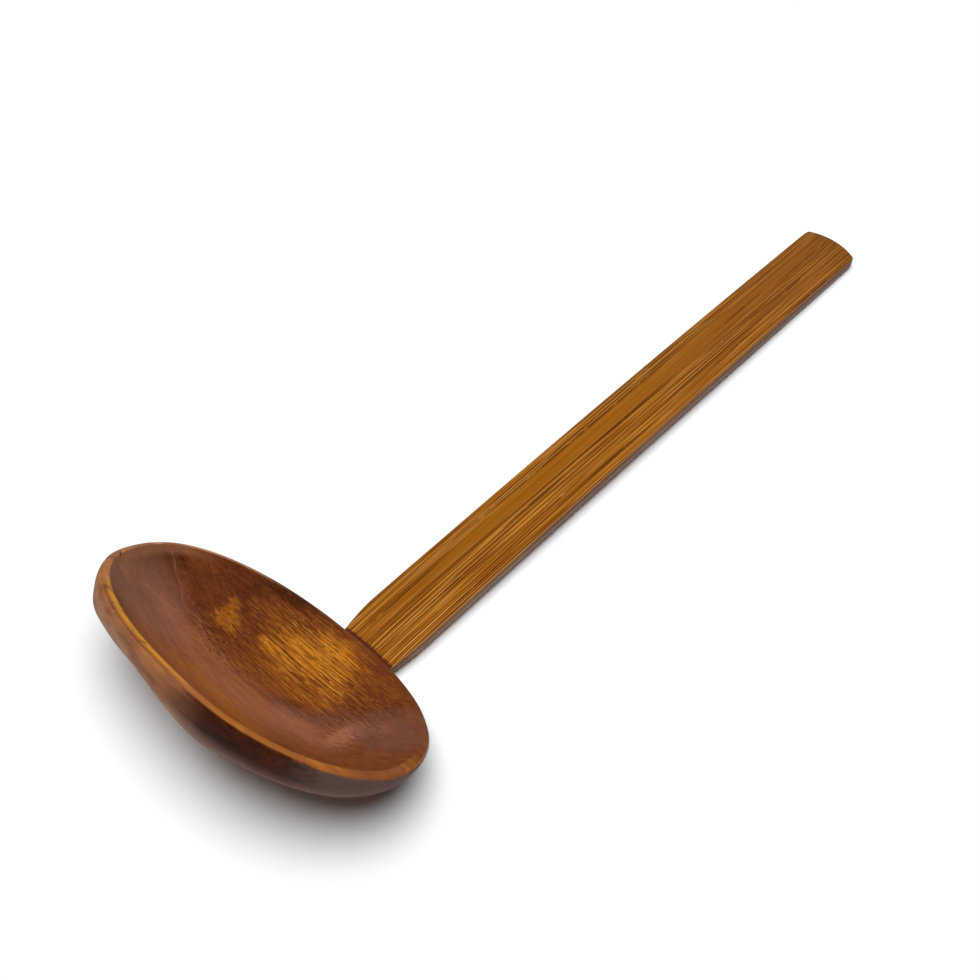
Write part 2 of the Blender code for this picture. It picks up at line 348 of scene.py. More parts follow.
# %% Middle line, sides and thickness of the slat
def height_on(curve, y):
    """Height above the table of one face of the bowl's back wall."""
    across, up = zip(*sorted(curve))
    return RIM_HEIGHT + float(np.interp(y - RIM_Y, across, up))


BACK_Y = RIM_Y + BACK * math.cos(TILT)
TENON_Y = BACK_Y - TENON_REACH
SHOULDER_Y = BACK_Y + SEAT_GAP
TIP_Y = BACK_Y + SLAT_LENGTH
TENON_Z = (height_on(outside_curve, TENON_Y) + height_on(hollow_curve, TENON_Y)) / 2


def slat_middle(y):
    """Height of the bowed middle line above the table."""
    share = (y - TENON_Y) / (TIP_Y - TENON_Y)
    return TENON_Z + (SLAT_THICKNESS / 2 - TENON_Z) * share + 4 * SLAT_BOW * share * (1 - share)


def fullness(y):
    """0 along the whittled tenon, rounding out to 1 past the shoulders."""
    return math.sin(min(max((y - SHOULDER_Y) / SHOULDER_LENGTH, 0.0), 1.0) * math.pi / 2)


def slat_half_thickness(y):
    """Half the thickness, thinned to that of the tenon at the root."""
    return (TENON_THICKNESS + (SLAT_THICKNESS - TENON_THICKNESS) * fullness(y)) / 2


def slat_side(y, shoulder):
    """How far one side is from the middle, set back by its shoulder along the tenon."""
    share = max((y - SHOULDER_Y) / (TIP_Y - SHOULDER_Y), 0.0)
    width = SLAT_ROOT_WIDTH + (SLAT_TIP_WIDTH - SLAT_ROOT_WIDTH) * share
    return width / 2 - shoulder * (1 - fullness(y))


print(f"slat leaves the bowl {slat_middle(SHOULDER_Y) * 1000:.2f} mm above the table")

# %% Outline of the slat
SHOULDER_STEPS = 12
ARC_STEPS = 24
CORNER_STEPS = 8
bm = bmesh.new()
stations = [TENON_Y] + [SHOULDER_Y + SHOULDER_LENGTH * n / SHOULDER_STEPS for n in range(SHOULDER_STEPS + 1)]
left_side = [(SLAT_OFFSET - slat_side(y, SHOULDER_LEFT), y) for y in stations]
right_side = [(SLAT_OFFSET + slat_side(y, SHOULDER_RIGHT), y) for y in stations]
corner_y = TIP_Y - TIP_SAG
half_tip = slat_side(corner_y, 0.0)
arc_radius = (half_tip**2 + TIP_SAG**2) / (2 * TIP_SAG)
arc_spread = math.asin(half_tip / arc_radius)
tip_arc = []
for step in range(ARC_STEPS + 1):
    turn = arc_spread * (2 * step / ARC_STEPS - 1)
    tip_arc.append((SLAT_OFFSET + arc_radius * math.sin(turn), TIP_Y - arc_radius * (1 - math.cos(turn))))
outline = [bm.verts.new((x, y, 0.0)) for x, y in left_side + tip_arc + right_side[::-1]]
bm.faces.new(outline)
corners = [outline[len(left_side)], outline[len(left_side) + ARC_STEPS]]
bmesh.ops.bevel(bm, geom=corners, offset=TIP_CORNER, segments=CORNER_STEPS, profile=0.5, affect="VERTICES")
print(f"outline of {len(bm.verts)} points")

# %% Strips and thickness of the slat
STRIPS = 64
strip_start = SHOULDER_Y + SHOULDER_LENGTH
strip_end = corner_y - 2 * TIP_CORNER
strips = [strip_start + (strip_end - strip_start) * n / STRIPS for n in range(STRIPS + 1)]
for y in stations[1:-1] + strips:
    sheet = bm.verts[:] + bm.edges[:] + bm.faces[:]
    bmesh.ops.bisect_plane(bm, geom=sheet, dist=CUT_WITHIN, plane_co=(0, y, 0), plane_no=(0, 1, 0))
raised = bmesh.ops.extrude_face_region(bm, geom=bm.faces[:])
top_points = {item for item in raised["geom"] if isinstance(item, bmesh.types.BMVert)}
for vert in bm.verts:
    half = slat_half_thickness(vert.co.y)
    vert.co.z = slat_middle(vert.co.y) + (half if vert in top_points else -half)
bmesh.ops.recalc_face_normals(bm, faces=bm.faces)
slat_mesh = bpy.data.meshes.new("bamboo_slat")
bm.to_mesh(slat_mesh)
bm.free()
slat = new_piece("bamboo_slat", slat_mesh)
print(f"slat cut into {STRIPS} strips and thickened")

# %% Rounded edges of the slat
EDGE_ROUND = 0.0005
EDGE_STEPS = 4
SLAT_CREASE = math.radians(40)
edges = slat.modifiers.new("rounded_edges", "BEVEL")
edges.width = EDGE_ROUND
edges.segments = EDGE_STEPS
edges.limit_method = "ANGLE"
edges.angle_limit = SLAT_CREASE
edges.harden_normals = True
slat_mesh.shade_smooth()
slat_mesh.set_sharp_from_angle(angle=SLAT_CREASE)
settle(slat)
lift = slat.data.attributes.new("lift", "FLOAT", "POINT")
for vert in slat.data.vertices:
    above_middle = vert.co.z - slat_middle(vert.co.y)
    lift.data[vert.index].value = 0.5 + above_middle / (2 * slat_half_thickness(vert.co.y))
print(f"edges rounded, slat has {len(slat.data.polygons)} faces")

# %% [markdown]
# ## The mortise and the glue line
# The maker chops a blind mortise into the back wall, brushes glue into it and pushes the tenon home. So a
# slot is cut in the finer bowl too. The glue is a thin cup round the tenon that ends in a bead on the
# wall. At each point round the tenon the wall is found along the slat. The cup runs up to it, and there
# the section turns over into the bead, which is uneven as glue is. The rings of the cup run the other way
# round than those of the bowl, so its faces are turned outward at the end.


# %% Wall of the bowl along the slat
PAST_THE_WALL = 0.040
HALVINGS = 40


def wall_y(x, z):
    """Where a line along the slat, at this x and height, comes out of the bowl's back wall."""
    low, high = 0.0, PAST_THE_WALL
    for _ in range(HALVINGS):
        middle = (low + high) / 2
        y, depth_z = middle - RIM_Y, z - RIM_HEIGHT
        level_y = y * math.cos(TILT) - depth_z * math.sin(TILT)
        level_z = y * math.sin(TILT) + depth_z * math.cos(TILT)
        depth = min(max(-level_z / BOWL_DEPTH, 0.0), 1.0)
        turn = math.asin(depth ** (DEPTH_POWER / 2))
        share, depth, swell = side_curve(turn)
        power = OVAL_POWERS["back_right"] if x > 0 else OVAL_POWERS["back_left"]
        reach_x = (RIGHT if x > 0 else LEFT) * share + BELLY * swell
        reach_y = BACK * share + BELLY * swell
        if abs(x / reach_x) ** power + abs(level_y / reach_y) ** power < 1:
            low = middle
        else:
            high = middle
    return low


print(f"wall over the slat at {wall_y(SLAT_OFFSET, slat_middle(BACK_Y) + TENON_THICKNESS / 2) * 1000:.2f} mm")

# %% Mortise
GLUE_POINTS = 120
MOUTH_POWER = 10
BOWL_CREASE = math.radians(50)


def round_tenon(share, margin, y):
    """A point of a rounded box round the tenon at a station, and the way out from it."""
    left = SLAT_OFFSET - slat_side(SHOULDER_Y, SHOULDER_LEFT) - margin
    right = SLAT_OFFSET + slat_side(SHOULDER_Y, SHOULDER_RIGHT) + margin
    angle = 2 * math.pi * share
    side, up = math.cos(angle), math.sin(angle)
    x = math.copysign(abs(side) ** (2 / MOUTH_POWER), side) * (right - left) / 2
    z = math.copysign(abs(up) ** (2 / MOUTH_POWER), up) * (TENON_THICKNESS / 2 + margin)
    out = np.array([side**3, 0.0, up**3])
    return np.array([(left + right) / 2 + x, y, slat_middle(y) + z]), out / np.linalg.norm(out)


shares = [step / GLUE_POINTS for step in range(GLUE_POINTS)]
mortise_margin = SEAT_GAP + GLUE_FILM + SEAT_GAP
mortise_ends = (TENON_Y - mortise_margin, SHOULDER_Y + SHOULDER_LENGTH)
mortise_rings = [np.array([round_tenon(s, mortise_margin, y)[0] for s in shares]) for y in mortise_ends]
chisel = loft("chisel", mortise_rings)
mortise = bowl.modifiers.new("mortise", "BOOLEAN")
mortise.operation = "DIFFERENCE"
mortise.solver = "EXACT"
mortise.object = chisel
settle(bowl)
bpy.data.objects.remove(chisel)
bowl.data.set_sharp_from_angle(angle=BOWL_CREASE)
print(f"mortise cut, bowl has {len(bowl.data.polygons)} faces")

# %% Cup of glue with its bead
BEAD_RADIUS = 0.00040
BEAD_SIDES = 9
BEAD_HALF_TURNS = 1.25
BEAD_WAVES = ((0.16, 7, 0.6), (0.10, 17, 0.0))
WALL_TRIES = 4
GLUE_CREASE = math.radians(60)


def glue_ring(margin, station):
    """A ring of the cup at a blind station, or at the wall if no station is given."""
    ring = []
    for share in shares:
        y = station
        if y is None:
            y = BACK_Y
            for _ in range(WALL_TRIES):
                y = wall_y(*round_tenon(share, margin, y)[0][[0, 2]]) + SEAT_GAP
        ring.append(round_tenon(share, margin, y)[0])
    return np.array(ring)


cup_outside = SEAT_GAP + GLUE_FILM
mouth = glue_ring(SEAT_GAP + GLUE_FILM / 2, None)
glue_rings = [glue_ring(cup_outside, TENON_Y - cup_outside), glue_ring(cup_outside, None)]
for side in range(BEAD_SIDES):
    turn = math.pi * (BEAD_HALF_TURNS * side / (BEAD_SIDES - 1) - (BEAD_HALF_TURNS - 1) / 2)
    ring = []
    for share, centre in zip(shares, mouth):
        uneven = 1 + sum(size * math.sin(2 * math.pi * count * share + at) for size, count, at in BEAD_WAVES)
        out = round_tenon(share, 0.0, BACK_Y)[1]
        section = out * math.cos(turn) + np.array([0.0, math.sin(turn), 0.0])
        ring.append(centre + section * BEAD_RADIUS * uneven)
    glue_rings.append(np.array(ring))
glue_rings += [glue_ring(SEAT_GAP, None), glue_ring(SEAT_GAP, TENON_Y - SEAT_GAP)]
glue = loft("glue_cup", glue_rings)
glue.data.flip_normals()
glue.data.shade_smooth()
glue.data.set_sharp_from_angle(angle=GLUE_CREASE)
lowest_glue = min(ring[:, 2].min() for ring in glue_rings)
print(f"glue of {len(glue_rings)} rings, lowest point {lowest_glue * 1000:.2f} mm up")

# %% [markdown]
# ## Helpers for the finishes
# Every finish here is worked out from the place of a point on the piece, in millimetres, and never from
# a picture. A few small helpers keep the node trees readable: one adds a node, one mixes two colours and
# one turns a value into a soft step. They all work on the tree and the shader of the finish in hand.


# %% Nodes and sums
def new_finish(name, roughness, sheen):
    """A material with a roughness, and a sheen that is 0.5 for bare lacquer and less for rubbed wood."""
    finish = bpy.data.materials.new(name)
    finish.use_nodes = True
    shader = finish.node_tree.nodes["Principled BSDF"]
    shader.inputs["Roughness"].default_value = roughness
    shader.inputs["Specular IOR Level"].default_value = sheen
    return finish, finish.node_tree, shader


def plug(socket, value):
    """Links a socket to another one, or sets it to a plain value."""
    if isinstance(value, bpy.types.NodeSocket):
        tree.links.new(value, socket)
    else:
        socket.default_value = value


def add(kind, settings=None, **inputs):
    """Adds a node with some settings and inputs."""
    made = tree.nodes.new(kind)
    for label, value in (settings or {}).items():
        setattr(made, label, value)
    for label, value in inputs.items():
        plug(made.inputs[label.replace("_", " ")], value)
    return made


def sums(operation, first, second=0.0, third=0.0, clamp=False):
    """One sum of two or three values."""
    made = add("ShaderNodeMath", {"operation": operation, "use_clamp": clamp})
    for socket, value in zip(made.inputs, (first, second, third)):
        plug(socket, value)
    return made.outputs[0]


def vector_sums(operation, *values):
    """The same for places and other vectors."""
    made = add("ShaderNodeVectorMath", {"operation": operation})
    for socket, value in zip(made.inputs, values):
        plug(socket, value)
    return made.outputs[0]


def times(first, second):
    """One value times another. For two shares it says where both are."""
    return sums("MULTIPLY", first, second)


print("helpers for nodes and sums ready")

# %% Mixes, soft steps and sockets
# A mix node has sockets for numbers, vectors and colours side by side. These are the ones for colours.
MIX_SHARE, MIX_UNDER, MIX_OVER, MIX_RESULT = 0, 6, 7, 2
BUMP_DEPTH = 0.0001


def blend(share, under, over):
    """Lays one colour over another by a share."""
    made = add("ShaderNodeMix", {"data_type": "RGBA"})
    for socket, value in ((MIX_SHARE, share), (MIX_UNDER, under), (MIX_OVER, over)):
        plug(made.inputs[socket], (*value, 1.0) if isinstance(value, tuple) else value)
    return made.outputs[MIX_RESULT]


def lay(under, share, most, over):
    """Lays a colour over another where a share is, at most so much of it."""
    return blend(times(share, most), under, over)


def lay_all(under, marks):
    """Lays several colours in turn. Each has where it shows, how much of it at most, and the colour."""
    for share, most, over in marks:
        under = lay(under, share, most, over)
    return under


def toward(value, share, most, goal):
    """Moves a value toward a goal where a share is, at most so much of the way."""
    way = sums("SUBTRACT", goal, value)
    return sums("MULTIPLY_ADD", times(share, most), way, value)


def sway_by(value, noise, reach):
    """Adds a noise to a value, up to about half the reach to each side."""
    return sums("ADD", value, sums("MULTIPLY_ADD", noise, reach, -reach / 2))


def step_up(value, low, high, most=1.0):
    """A soft step from 0 below low to most above high."""
    made = add("ShaderNodeMapRange", {"interpolation_type": "SMOOTHSTEP"}, Value=value)
    for label, number in (("From Min", low), ("From Max", high), ("To Min", 0.0), ("To Max", most)):
        made.inputs[label].default_value = number
    return made.outputs[0]


def kept_value(label):
    """A value that was kept on the points of a piece."""
    return add("ShaderNodeAttribute", {"attribute_name": label}).outputs["Fac"]


def millimetres():
    """The place of a point on the piece, in millimetres."""
    place = tree.nodes.new("ShaderNodeTexCoord").outputs["Object"]
    return add("ShaderNodeVectorMath", {"operation": "SCALE"}, Vector=place, Scale=1000.0).outputs[0]


def wire(value, label):
    """Links a value to a socket of the shader."""
    tree.links.new(value, shader.inputs[label])


def feel(height, strength):
    """Bumps the surface by a height, a tenth of a millimetre at most."""
    bump = add("ShaderNodeBump", Strength=strength, Distance=BUMP_DEPTH, Height=height)
    wire(bump.outputs[0], "Normal")


print("helpers for mixes, steps and sockets ready")

# %% [markdown]
# Grain is noise drawn out along the fibres. A thin line of even width is harder to get from noise, because
# noise has no width of its own. So the fibres are cells along one axis with a line in the middle of each,
# and a noise of its own breaks each line up.


# %% Noise and fibre lines
def drawn_noise(where, per_mm, detail=3.0, rough=0.55, twist=0.0, shift=0.0):
    """Noise with its own count per millimetre along x, y and z."""
    placed = add("ShaderNodeMapping", Vector=where, Scale=per_mm)
    placed.inputs["Location"].default_value = (shift, shift * 0.7, shift * 1.3)
    noise = add("ShaderNodeTexNoise", Vector=placed.outputs[0], Scale=1.0, Detail=detail)
    noise.inputs["Roughness"].default_value = rough
    noise.inputs["Distortion"].default_value = twist
    return noise.outputs[0]


CELL_TO_CELL = 23.0


def fibre_lines(across, along, per_mm, half_width, run, shift):
    """Thin lines of one width, each at its own place across and with its own breaks along it."""
    moved = sums("ADD", across, shift)
    fibres = add("ShaderNodeTexVoronoi", {"voronoi_dimensions": "1D"}, W=moved, Scale=per_mm)
    edge = half_width * per_mm
    near = step_up(fibres.outputs["Distance"], 1.4 * edge, 0.6 * edge)
    own_place = times(fibres.outputs["W"], CELL_TO_CELL)
    own = add("ShaderNodeCombineXYZ", X=own_place, Y=sums("DIVIDE", along, run))
    present = drawn_noise(own.outputs[0], (1.0, 1.0, 1.0), detail=1.0)
    return times(near, step_up(present, 0.43, 0.54))


print("noise and fibre lines ready")

# %% [markdown]
# A patch of stain is an oval with a soft edge. Moving the places about before the oval is drawn makes its
# edge wander, and pushing them to and fro along the grain lets it end in separate fibres.

# %% Patches with wandering edges
THROUGH = 1000.0


def wandering(where, per_mm, reach):
    """Moves places about by noise, so that the edges of a patch wander."""
    noise = add("ShaderNodeTexNoise", Vector=where, Scale=per_mm, Detail=3.0)
    middle = vector_sums("SUBTRACT", noise.outputs[1], (0.5, 0.5, 0.5))
    return vector_sums("MULTIPLY_ADD", middle, reach, where)


def push_along_x(where, per_mm, reach, shift=0.0):
    """Pushes places to and fro along x. Thin streaks fray a patch, and slow waves make lines sway."""
    push = sums("MULTIPLY_ADD", drawn_noise(where, per_mm, shift=shift), reach, -reach / 2)
    return vector_sums("ADD", where, add("ShaderNodeCombineXYZ", X=push).outputs[0])


def patch(where, centre, radii, turn=0.0, soft=0.4):
    """1 in the middle of an oval that goes right through the piece, falling softly to 0 past its edge."""
    placed = add(
        "ShaderNodeMapping",
        {"vector_type": "TEXTURE"},
        Vector=where,
        Location=(*centre, 0.0),
        Rotation=(0.0, 0.0, math.radians(turn)),
        Scale=(*radii, THROUGH),
    )
    far = add("ShaderNodeVectorMath", {"operation": "LENGTH"}, Vector=placed.outputs[0])
    return step_up(far.outputs["Value"], 1 + soft, 1 - soft)


def any_patch(where, ovals, soft):
    """Where any of some ovals is: each has a place along and across, two radii and a turn."""
    share = 0.0
    for u, v, long, wide, turn in ovals:
        share = sums("MAXIMUM", share, patch(where, (u, v), (long, wide), turn, soft))
    return share


print("patches ready")

# %% [markdown]
# ## Stained hardwood
# The bowl's wood has its fibres along the oval, and the stain soaks into them unevenly. So one number says
# how pale the wood stayed at each point, and a ramp turns it into a colour: near black where the stain
# soaked in most, then red brown and amber, and gold where it took least. Zones, grain and pores only move
# that number. Mixing a colour for each zone would work too, but their edges would turn grey, and the edges
# of a stain don't.

# %% How much stain each fibre took up
# Each depth of the stain: how pale the wood stayed, and its colour.
STAIN = (
    (0.00, (0.024, 0.006, 0.003)),
    (0.20, (0.075, 0.018, 0.006)),
    (0.40, (0.140, 0.0375, 0.010)),
    (0.60, (0.240, 0.069, 0.012)),
    (0.80, (0.370, 0.114, 0.010)),
    (1.00, (0.520, 0.190, 0.018)),
)


def stain_colour(paleness):
    """Colour of the stained wood: near black where it soaked in most, gold where it took least."""
    made = add("ShaderNodeValToRGB", Fac=paleness)
    stops = made.color_ramp.elements
    while len(stops) < len(STAIN):
        stops.new(0.5)
    for stop, (at, colour) in zip(stops, STAIN):
        stop.position = at
        stop.color = (*colour, 1.0)
    return made.outputs[0]


wood, tree, shader = new_finish("stained_hardwood", 0.45, 0.04)
place = add("ShaderNodeAttribute", {"attribute_name": "blank_place"}).outputs["Vector"]
inside = kept_value("inside")
near_rim = kept_value("near_rim")
soaked = wandering(place, 0.12, (7.0, 4.0, 0.0))
soaked = push_along_x(soaked, (0.06, 1.1, 1.1), 8.0, shift=31.0)
across = add("ShaderNodeSeparateXYZ", Vector=soaked).outputs
streaks = drawn_noise(place, (0.030, 0.45, 0.45), detail=5.0, rough=0.6, twist=0.4)
clouds = drawn_noise(place, (0.05, 0.10, 0.10), detail=3.0, shift=7.0)
lines = drawn_noise(place, (0.06, 2.6, 2.6), detail=2.0, rough=0.5, shift=3.0)
blank = add("ShaderNodeSeparateXYZ", Vector=place).outputs
wobble = drawn_noise(place, (0.05, 0.15, 0.15), detail=2.0, shift=29.0)
slope = times(sums("ADD", blank["Y"], blank["Z"]), 0.7)
slope = sums("MULTIPLY_ADD", wobble, 2.0, slope)
specks = drawn_noise(place, (0.45, 1.9, 1.9), detail=2.0, rough=0.6, shift=11.0)
print(f"stain of {len(STAIN)} depths, grain drawn along the bowl")

# %% [markdown]
# The zones are ovals placed in the blank, in millimetres along and across the rim: dark red at the left and
# the back, thin and golden over the middle, smooth orange brown in front. Each one gives the paleness that it
# draws the wood toward, and how strongly.

# %% Zones where the stain took differently in the hollow
# Each zone: name, paleness, strength, and its ovals of place along and across, two radii and a turn.
HOLLOW_ZONES = (
    ("dark left", 0.35, 0.90, ((-33, 8, 14, 16, 0),)),
    ("darkest left", 0.24, 0.75, ((-42, 3, 5, 5, 0), (-28, 20, 10, 4, -20), (-40, 9, 3, 2, 0))),
    ("dusty middle", 0.64, 0.85, ((-12, -1, 22, 5, 0), (10, 3, 8, 3, 0))),
    ("smooth front", 0.67, 0.95, ((-6, -13, 22, 9, 0),)),
    ("red front right", 0.49, 0.95, ((26, -3, 16, 8, 15),)),
    ("amber", 0.68, 0.95, ((-1, 16.5, 14, 8.5, 0),)),
    ("gold", 0.97, 0.90, ((-3, 19.2, 9, 3.2, 0), (0, 22.3, 6, 3, 0), (-10, 14.3, 6, 1.4, 0))),
    ("gold fleck", 0.74, 0.88, ((-23.5, 11.0, 4.0, 2.6, 10), (-26, 14.0, 2, 2.2, 0))),
    ("red back right", 0.42, 0.90, ((17, 17, 8, 5, 0),)),
    ("burnt back", 0.16, 0.90, ((-19, 25.5, 8, 2.4, 8),)),
    ("dark band", 0.31, 0.80, ((15, 13, 12, 2.6, 40), (6, 7, 5, 2, 20))),
    ("pale cloud", 0.35, 0.85, ((26, 13, 8, 6, 0),)),
    ("edge of the cloud", 0.68, 0.90, ((17.5, 8, 1.6, 4.5, 10),)),
    ("red back left", 0.46, 0.75, ((-18, 19.0, 7, 2.8, 12),)),
)
paleness = sway_by(0.46, clouds, 0.25)
for _, goal, strength, ovals in HOLLOW_ZONES:
    paleness = toward(paleness, any_patch(soaked, ovals, 0.45), strength, goal)
print("zones of stain in the hollow:", ", ".join(zone[0] for zone in HOLLOW_ZONES))

# %% [markdown]
# In the middle of the hollow the pores are open. There the grain shows as short dark dashes with pale ones
# between them, and elsewhere the wood is rubbed smooth and only broad streaks are left.

# %% Open grain and streaks
amber_grain = patch(soaked, (-2.0, 17.0), (19.0, 9.5), soft=0.65)
fleck = patch(soaked, (-24.5, 12.0), (4.5, 3.5), soft=0.40)
amber_grain = times(amber_grain, sums("MULTIPLY_ADD", fleck, -0.7, 1.0))
speckled = patch(soaked, (-16.0, 8.0), (14.0, 7.0), soft=0.40)
open_grain = sums("MAXIMUM", amber_grain, times(speckled, 0.75))
open_grain = sums("MULTIPLY_ADD", open_grain, 0.78, 0.22)
grain = times(sums("SUBTRACT", lines, 0.5), open_grain)
calm = sums("MULTIPLY_ADD", open_grain, -0.5, 1.0)
broad_streaks = times(sums("SUBTRACT", streaks, 0.5), calm)
paleness = sums("MULTIPLY_ADD", broad_streaks, 0.65, paleness)
paleness = sums("MULTIPLY_ADD", grain, 1.2, paleness)
paleness = sway_by(paleness, specks, 0.50)
hollow = stain_colour(paleness)
print("open grain and streaks added")

# %% Painted sheen, partly the wood's own mauve tone, and pores
# Each haze, mostly a painted reflection of the white room and partly the wood's own pale mauve tone: place
# along and across, two radii, a turn, and how thick it is.
SHEEN_AND_TONE_HAZES = (
    (-36, -6, 12, 10, 0, 0.34),
    (-12, -1, 22, 5.5, 0, 0.20),
    (-17, -15, 17, 6, 0, 0.13),
    (10, 3, 9, 3.5, 0, 0.22),
    (26, 13, 8, 6, 0, 0.20),
    (18, 8, 2.5, 5, 10, 0.34),
    (22, 13, 5, 1.6, 45, 0.14),
    (14, 11, 10, 3, 40, 0.20),
)
SHEEN_AND_TONE_COLOUR = (0.34, 0.165, 0.120)
# The hazes paint the lacquer's sheen into the colour of the hollow.
for u, v, long, wide, turn, most in SHEEN_AND_TONE_HAZES:
    oval = patch(soaked, (u, v), (long, wide), turn, soft=0.6)
    hollow = lay(hollow, oval, most, SHEEN_AND_TONE_COLOUR)
pores = times(step_up(specks, 0.56, 0.60), open_grain)
pore_depth = sums("MULTIPLY_ADD", amber_grain, -0.50, 1.0)
hollow = lay(hollow, times(pores, pore_depth), 0.85, (0.045, 0.012, 0.005))
glints = times(step_up(specks, 0.40, 0.36), open_grain)
hollow = lay(hollow, glints, 0.45, (0.480, 0.170, 0.024))
print(f"{len(SHEEN_AND_TONE_HAZES)} hazes and the pores added")

# %% Dashes of the grain
gold_grain = patch(soaked, (-2.0, 18.5), (12.0, 6.5), soft=0.50)
# Each kind of dash: where it shows, count per mm, half its width, its run in mm, shift, strength, colour.
GRAIN_LINES = (
    (gold_grain, 1.9, 0.095, 4.0, 3.0, 0.82, (0.620, 0.248, 0.028)),
    (amber_grain, 2.6, 0.065, 3.5, 8.0, 0.50, (0.130, 0.038, 0.008)),
    (amber_grain, 1.5, 0.085, 4.0, 5.0, 0.90, (0.060, 0.016, 0.005)),
)
for where, per_mm, half_width, run, shift, most, line_colour in GRAIN_LINES:
    line = fibre_lines(slope, blank["X"], per_mm, half_width, run, shift)
    hollow = lay(hollow, times(line, where), most, line_colour)
print(f"{len(GRAIN_LINES)} kinds of dash in the grain")

# %% Pale wisps and the worn back edge
WORN_WOOD = (0.38, 0.175, 0.090)
WISP_HALF_WIDTH = 0.26
# Each wisp: place along and across, half its length, and a turn.
WISPS = (
    (-40.0, 7.3, 2.8, -20), (-36.0, 6.1, 1.8, -15), (-33.0, 4.8, 2.4, -30), (-30.0, 3.8, 1.6, 0),
    (-27.5, 4.6, 2.2, 30), (-35.5, -2.4, 3.0, 27), (-31.3, 0.0, 2.4, 33), (-17.1, 0.5, 2.4, -8),
    (-5.4, -2.2, 4.6, -3), (-13.2, -3.0, 3.6, -14), (-22.0, -7.0, 6.0, 8), (-30.0, -10.0, 5.0, 12),
)
wavy = wandering(place, 0.40, (1.6, 1.6, 0.0))
wisps = any_patch(wavy, [(u, v, long, WISP_HALF_WIDTH, turn) for u, v, long, turn in WISPS], 0.8)
hollow = lay(hollow, wisps, 0.22, WORN_WOOD)
worn_back = patch(soaked, (-41.0, 6.0), (10.0, 9.0), soft=0.50)
worn_back = times(worn_back, step_up(near_rim, 0.45, 0.80))
hollow = lay(hollow, worn_back, 0.34, WORN_WOOD)
print(f"{len(WISPS)} wisps laid, back edge worn")

# %% [markdown]
# Outside, the front wall under the overhang is painted nearly black as shade, the left wall is painted pale
# as light, and the lower wall is painted lighter as light from the table. The rim is amber, where hands and
# lips wore the stain off. The same ramp gives the colours. A thin pale haze lies low on the wall, a painted
# reflection of the white table, which it faces.

# %% Paleness of the outside wall, with painted shade and light, and the worn rim
WALL_PALENESS, FRONT_SHADE_PALENESS, LOW_LIGHT_PALENESS, LEFT_LIGHT_PALENESS = 0.36, 0.09, 0.46, 0.72
RIM_PALENESS = 0.78
# Each part of the rim that is worn less or more: its paleness, and its place along and across.
RIM_PARTS = ((0.59, (37.0, -6.0)), (0.84, (35.0, 13.0)))
RIM_PART_SIZE = (9.0, 9.0)
worn = drawn_noise(place, (0.08, 0.28, 0.28), detail=4.0, rough=0.6, twist=0.5, shift=17.0)
left_wall = step_up(across["X"], 5.0, -12.0)
front_wall = step_up(across["Y"], 8.0, -2.0)
depth = kept_value("depth")
# Painted shade on the front wall, painted light from the table lower down, and painted light on the left
# wall.
paleness = toward(WALL_PALENESS, front_wall, 1.0, FRONT_SHADE_PALENESS)
paleness = toward(paleness, step_up(depth, 0.35, 0.80), 0.85, LOW_LIGHT_PALENESS)
paleness = toward(paleness, left_wall, 1.0, LEFT_LIGHT_PALENESS)
rim_share = step_up(near_rim, 0.80, 1.0)
narrowed = times(rim_share, step_up(inside, 0.02, 0.17))
front_part = times(front_wall, step_up(across["X"], 30.0, 20.0))
rim_share = toward(rim_share, front_part, 1.0, narrowed)
paleness = toward(paleness, rim_share, 0.95, RIM_PALENESS)
for goal, rim_place in RIM_PARTS:
    rim_part = patch(soaked, rim_place, RIM_PART_SIZE, soft=0.3)
    paleness = toward(paleness, times(rim_part, rim_share), 0.95, goal)
paleness = sway_by(paleness, streaks, 0.40)
paleness = sway_by(paleness, lines, 0.25)
paleness = sway_by(paleness, worn, 0.45)
outer = stain_colour(paleness)
print("outside wall stained, rim worn")

# %% Painted sheen and reflections on the outside wall, and its ruddy patch
# The low haze is a painted reflection of the white table.
LOW_TABLE_REFLECTION = (0.42, 0.29, 0.22)
front_rim = times(rim_share, step_up(across["X"], -20.0, -6.0))
low_left = times(step_up(across["X"], -10.0, -28.0), step_up(depth, 0.04, 0.30))
right_wall = times(step_up(across["X"], 20.0, 32.0), front_wall)
right_wall = sums("SUBTRACT", right_wall, rim_share, clamp=True)
back_left = times(step_up(across["X"], -26.0, -38.0), rim_share)
back_left = times(back_left, step_up(across["Y"], -6.0, 3.0))
ruddy = times(left_wall, step_up(worn, 0.62, 0.34))
low_wall = times(step_up(depth, 0.30, 0.75), front_wall)
low_front = times(low_wall, step_up(across["X"], 14.0, -4.0))
# Each mark: where it shows, how much at most, and its colour. All are painted sheen and reflection, except
# the ruddy patch, which is the wood's own.
WALL_SHEENS_AND_RUDDY = (
    (left_wall, 0.26, (0.45, 0.27, 0.19)),
    (front_rim, 0.09, (0.36, 0.200, 0.140)),
    (low_left, 0.36, (0.52, 0.34, 0.25)),
    (right_wall, 0.18, (0.45, 0.35, 0.30)),
    (back_left, 0.45, (0.56, 0.28, 0.15)),
    (ruddy, 0.60, (0.18, 0.060, 0.026)),
    (low_wall, 0.30, LOW_TABLE_REFLECTION),
    (low_front, 0.40, LOW_TABLE_REFLECTION),
)
outer = lay_all(outer, WALL_SHEENS_AND_RUDDY)
print(f"{len(WALL_SHEENS_AND_RUDDY)} hazes on the wall added")

# %% [markdown]
# Along the left front the rim is worn through to golden wood, with a painted highlight along its crest and a
# line of painted shade under it. The points know how far over the rim they are, so the crest and the line
# follow it. At the back the stain runs over the rim, so the hollow's colours begin at its outer edge.

